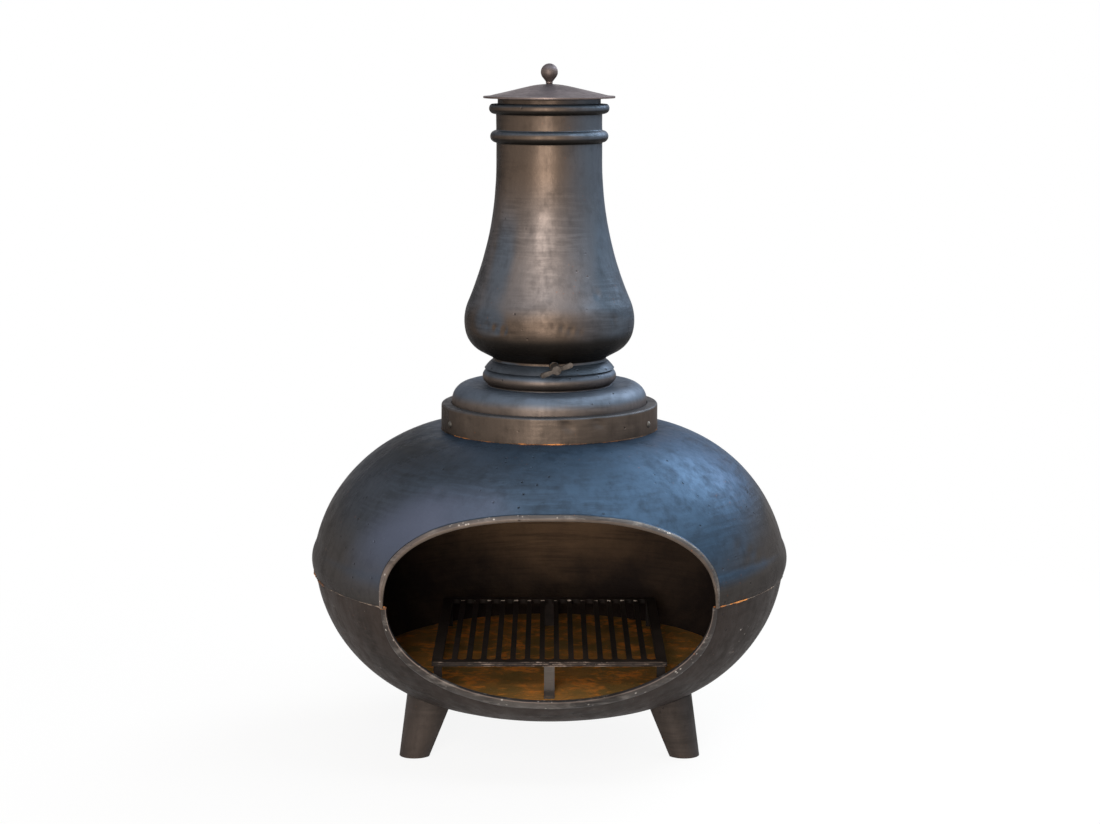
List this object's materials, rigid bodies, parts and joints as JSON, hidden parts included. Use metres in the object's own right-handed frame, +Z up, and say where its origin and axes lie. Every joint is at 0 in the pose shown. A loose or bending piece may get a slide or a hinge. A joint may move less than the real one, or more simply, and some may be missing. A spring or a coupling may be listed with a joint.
{
  "type": "outdoor iron fireplace",
  "caption": "Round cast-iron outdoor fireplace on splayed legs, with a wide front mouth, lift-out log grate, domed collar, bulbous flue stack, butterfly damper and lift-off rain lid.",
  "frame": {"origin": "on the ground, straight below the middle of the outline in front and side view; the axis of the flue stands 24 mm in front of it", "axes": "+Z up, parallel to the flue axis, the mouth faces -Y, +X to the right of someone who looks into the mouth"},
  "size_m": [0.779, 0.7303, 1.1026],
  "materials": {
    "painted_iron": "satin heat-resistant paint over cast iron, brushed, worn and lightly rusted",
    "hearth_iron": "rusted iron plate",
    "grate_iron": "matte sooty iron",
    "bare_steel": "dull steel",
    "key_iron": "bare iron, polished by handling"
  },
  "bodies": {
    "fireplace": {"lower_bowl": "painted_iron", "upper_body": "painted_iron", "seam_bolts": "bare_steel", "seam_nuts": "bare_steel", "leg_left": "painted_iron", "leg_right": "painted_iron", "leg_rear": "painted_iron", "leg_bolts": "bare_steel", "leg_washers": "bare_steel", "hearth_plate": "hearth_iron", "clamp_band": "painted_iron", "band_screws": "bare_steel", "neck_collar": "painted_iron", "stack": "painted_iron"},
    "damper": {"damper_plate": "painted_iron", "damper_screws": "bare_steel", "damper_shaft": "bare_steel", "damper_key": "key_iron", "damper_clip": "bare_steel"},
    "rain_lid": {"lid": "painted_iron", "knob": "painted_iron", "knob_nut": "bare_steel"},
    "grate": {"grate_rails": "grate_iron", "grate_bars": "grate_iron", "grate_corner_legs": "grate_iron", "grate_strap_front": "grate_iron", "grate_strap_rear": "grate_iron"}
  },
  "joints": [
    {"name": "damper_turn", "type": "hinge", "parent": "fireplace", "child": "damper", "pos_m": [0, -0.0243, 0.628], "axis": [0.0785, -0.9969, 0], "range_deg": [-20, 70]},
    {"name": "lid_lift", "type": "slide", "parent": "fireplace", "child": "rain_lid", "axis": [0, 0, 1], "range_m": [0, 0.2]},
    {"name": "grate_lift", "type": "slide", "parent": "fireplace", "child": "grate", "axis": [0, -0.75, 0.6614], "range_m": [0, 0.28]}
  ]
}
